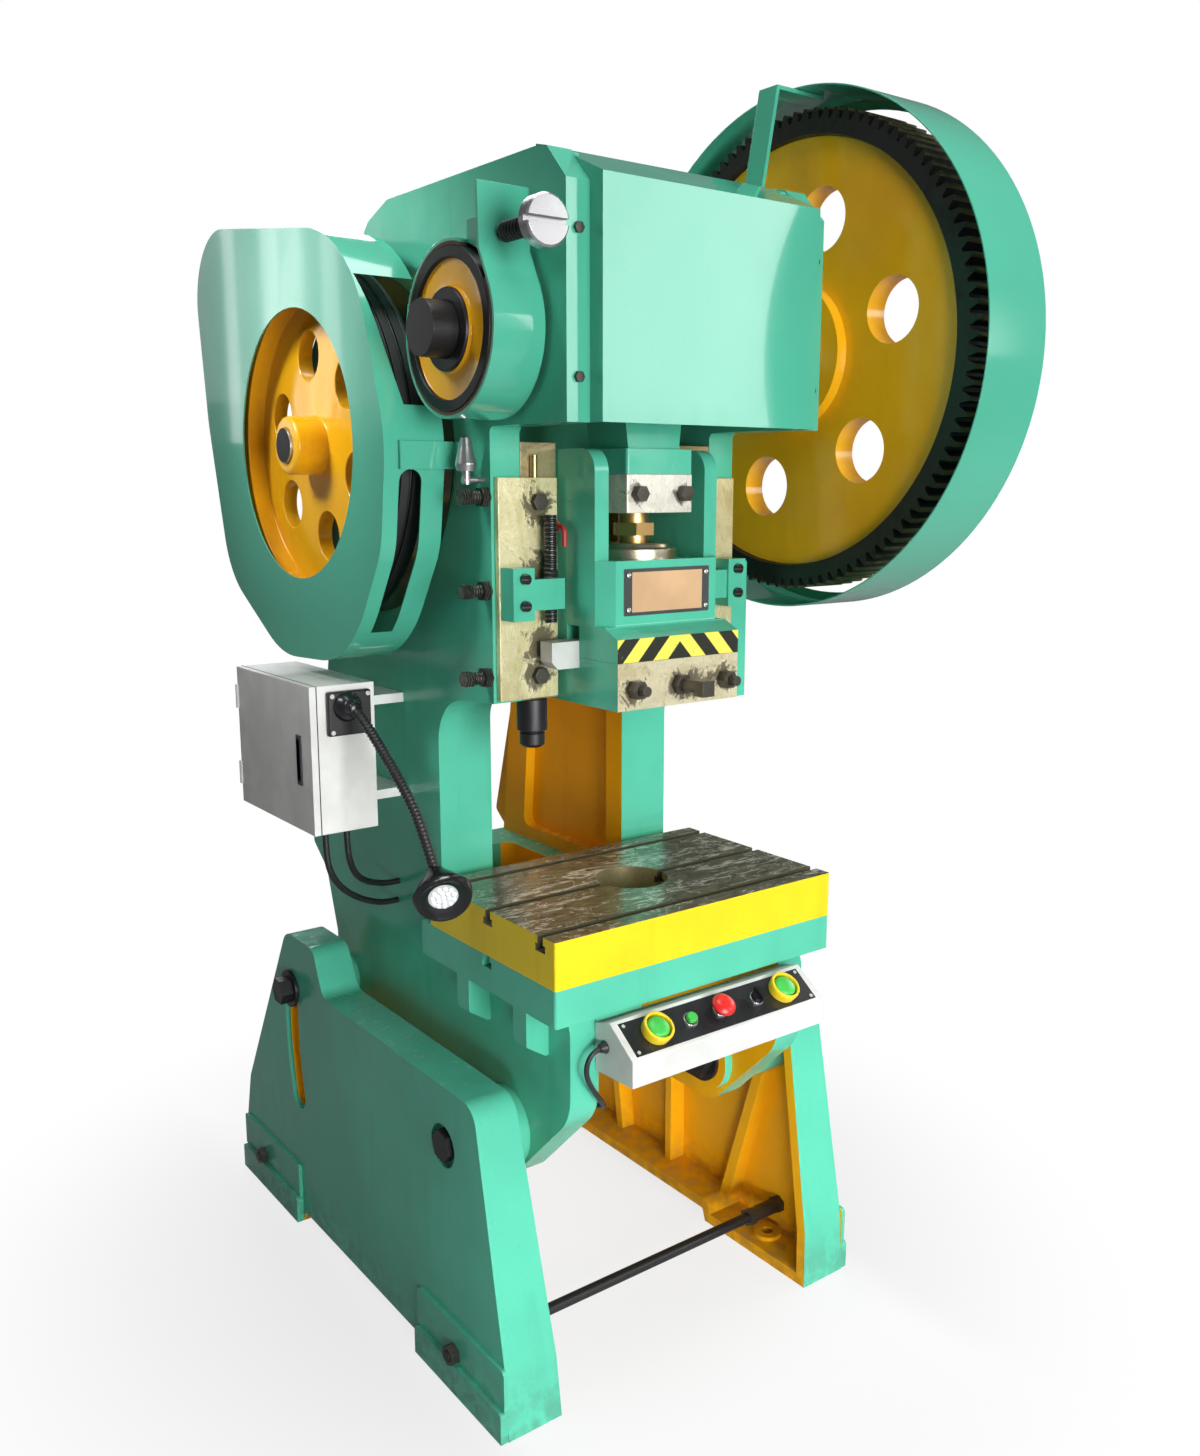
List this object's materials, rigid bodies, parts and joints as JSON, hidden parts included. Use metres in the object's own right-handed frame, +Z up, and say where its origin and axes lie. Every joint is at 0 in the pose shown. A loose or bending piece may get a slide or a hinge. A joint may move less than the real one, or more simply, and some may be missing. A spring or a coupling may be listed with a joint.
{
  "type": "mechanical stamping press",
  "caption": "Inclinable open-back mechanical press with crank-driven ram, flywheel and bull gear drive, grooved bolster table and two cast legs.",
  "frame": {"origin": "on the floor at the centre of the four anchor holes", "axes": "+X to the right of a person who faces the table, +Y from that person to the back, +Z up"},
  "size_m": [1.103, 1.575, 2.544],
  "materials": {
    "green_paint": "gloss mint green enamel",
    "yellow_paint": "gloss yellow enamel",
    "machined_steel": "turned and ground",
    "cast_iron": "machined",
    "bronze": "machined bronze",
    "blackened_steel": "black oxide",
    "friction_lining": "moulded lining",
    "rubber": "matte",
    "plate_metal": "satin",
    "white_enamel": "fine texture enamel",
    "black_plastic": "satin",
    "lamp_chrome": "gloss black enamel",
    "yellow_plastic": "gloss",
    "green_plastic": "gloss",
    "red_plastic": "gloss"
  },
  "bodies": {
    "stand": {"leg_left": "green_paint", "leg_right": "green_paint", "tie_rods": "machined_steel", "tie_rod_nuts": "machined_steel", "pivot_bolts": "machined_steel"},
    "frame": {"tilt_bolts": "machined_steel", "frame_casting": "green_paint", "bolster_plate": "green_paint", "crank_bushes": "bronze", "brake_lining": "friction_lining", "brake_band": "green_paint", "brake_tension_screw": "machined_steel", "brake_spring": "blackened_steel", "drive_bearings": "cast_iron", "v_belts": "rubber", "motor_body": "green_paint", "motor_plate": "green_paint", "gibs": "cast_iron", "gib_plates": "yellow_paint", "gib_plate_bolts": "blackened_steel", "gib_adjusting_screws": "machined_steel", "gib_foot_screw": "blackened_steel", "stop_brackets": "green_paint", "stop_screws": "blackened_steel", "oil_fittings": "machined_steel", "crank_cover": "green_paint", "cover_screws": "blackened_steel", "gear_guard": "green_paint", "belt_guard": "green_paint", "electrical_box": "white_enamel", "lamp_arm": "black_plastic", "lamp_head": "lamp_chrome", "conduits": "black_plastic", "control_box": "green_paint", "button_collars": "yellow_plastic"},
    "crank": {"crankshaft": "machined_steel", "brake_drum": "yellow_paint"},
    "gear": {"bull_gear": "yellow_paint", "gear_bush": "bronze"},
    "drive": {"drive_shaft": "machined_steel", "flywheel": "yellow_paint", "pinion": "machined_steel"},
    "motor_rotor": {"motor_pulley": "yellow_paint"},
    "rod": {"conrod": "green_paint", "conrod_cap": "green_paint", "conrod_bolts": "blackened_steel", "clamp_block": "machined_steel", "ball_screw": "machined_steel", "ball_cup": "machined_steel"},
    "slide": {"ram": "green_paint", "clamp_plate": "machined_steel", "clamp_bolts": "machined_steel", "nameplate": "plate_metal"},
    "knockout": {"knockout_bar": "machined_steel"},
    "door": {"box_door": "white_enamel"},
    "palm_left": {"palm_button_left": "green_plastic"},
    "palm_right": {"palm_button_right": "green_plastic"},
    "start": {"start_button": "green_plastic"},
    "stop": {"stop_button": "red_plastic"},
    "selector": {"selector_switch": "black_plastic"}
  },
  "joints": [
    {"name": "frame_tilt", "type": "hinge", "parent": "stand", "child": "frame", "pos_m": [0, -0.41, 0.505], "axis": [-1, 0, 0], "range_deg": [0, 20]},
    {"name": "crank_turn", "type": "hinge", "parent": "frame", "child": "crank", "pos_m": [0, -0.425, 2.024], "axis": [-1, 0, 0], "range_deg": [0, 180]},
    {"name": "conrod_pin", "type": "hinge", "parent": "crank", "child": "rod", "pos_m": [0, -0.425, 2.084], "axis": [-1, 0, 0], "range_deg": [-180, 0]},
    {"name": "ram_slide", "type": "slide", "parent": "frame", "child": "slide", "axis": [0, 0, -1], "range_m": [0, 0.12]},
    {"name": "drive_spin", "type": "hinge", "parent": "frame", "child": "drive", "pos_m": [0, 0.09219, 1.83984], "axis": [1, 0, 0], "continuous": true},
    {"name": "gear_spin", "type": "hinge", "parent": "frame", "child": "gear", "pos_m": [0.467, -0.425, 2.024], "axis": [1, 0, 0], "continuous": true},
    {"name": "motor_spin", "type": "hinge", "parent": "frame", "child": "motor_rotor", "pos_m": [-0.41, 0.48, 2.224], "axis": [1, 0, 0], "continuous": true},
    {"name": "knockout_slide", "type": "slide", "parent": "slide", "child": "knockout", "axis": [0, 0, 1], "range_m": [0, 0.028]},
    {"name": "door_hinge", "type": "hinge", "parent": "frame", "child": "door", "pos_m": [-0.54, 0.302, 1.216], "axis": [0, 0, -1], "range_deg": [0, 110]},
    {"name": "palm_button_left_press", "type": "slide", "parent": "frame", "child": "palm_left", "axis": [0, 0.5889, -0.8082], "range_m": [0, 0.006], "stiffness_N_per_m": 600},
    {"name": "palm_button_right_press", "type": "slide", "parent": "frame", "child": "palm_right", "axis": [0, 0.5889, -0.8082], "range_m": [0, 0.006], "stiffness_N_per_m": 600},
    {"name": "start_button_press", "type": "slide", "parent": "frame", "child": "start", "axis": [0, 0.5889, -0.8082], "range_m": [0, 0.004], "stiffness_N_per_m": 600},
    {"name": "stop_button_press", "type": "slide", "parent": "frame", "child": "stop", "axis": [0, 0.5889, -0.8082], "range_m": [0, 0.006], "stiffness_N_per_m": 600},
    {"name": "selector_turn", "type": "hinge", "parent": "frame", "child": "selector", "pos_m": [0.091, -0.705, 0.7685], "axis": [0, -0.5889, 0.8082], "range_deg": [-45, 45]}
  ],
  "couplings": [
    {"joint": "conrod_pin", "follows": "crank_turn", "ratio": -1},
    {"joint": "ram_slide", "follows": "crank_turn", "m_per_rad": 0.038197},
    {"joint": "gear_spin", "follows": "drive_spin", "ratio": -0.1619},
    {"joint": "motor_spin", "follows": "drive_spin", "ratio": 5.3007}
  ]
}
